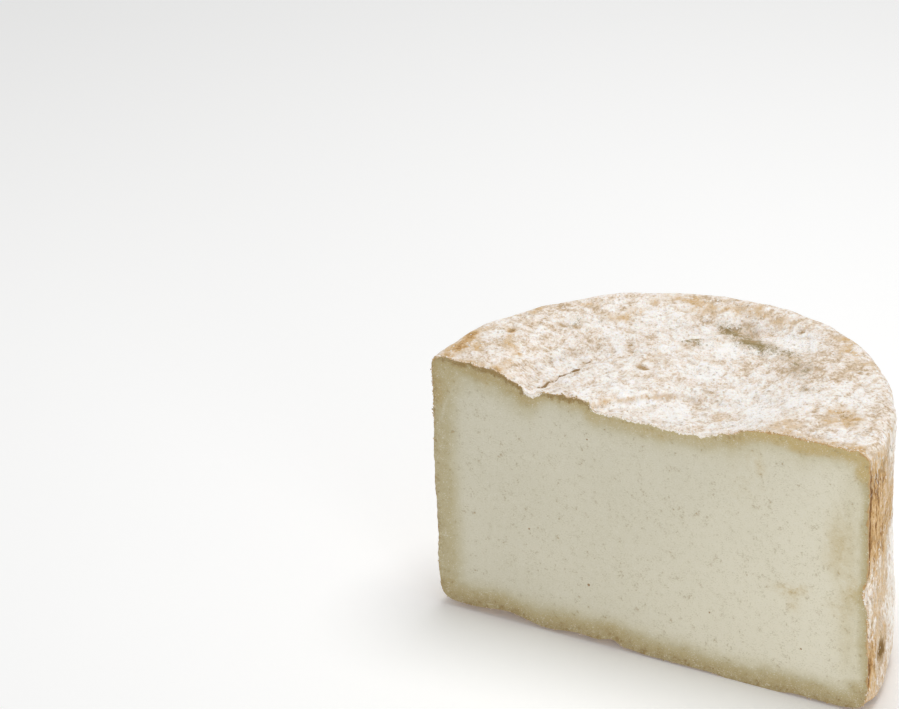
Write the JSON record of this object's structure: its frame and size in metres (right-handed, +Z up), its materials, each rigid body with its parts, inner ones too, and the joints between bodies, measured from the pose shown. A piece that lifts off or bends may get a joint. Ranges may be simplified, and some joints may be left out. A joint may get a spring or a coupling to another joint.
{
  "type": "half wheel of castelmagno cheese",
  "caption": "Half of an aged drum-shaped cheese, cut down its middle: ivory paste on the flat cut face, a mould-dusted straw-coloured rind, and a dished, folded top.",
  "frame": {"origin": "centre of the bounding box at its base, on the surface that the cheese stands on", "axes": "+X along the cut, +Y away from the cut face towards the round back, +Z up; the flat cut face looks towards -Y"},
  "size_m": [0.2327, 0.1189, 0.1417],
  "materials": {
    "cheese": "matte, ivory crumbly paste on the cut and a dry straw-coloured rind dusted with white mould"
  },
  "bodies": {
    "root": {"half_wheel": "cheese"}
  },
  "joints": []
}
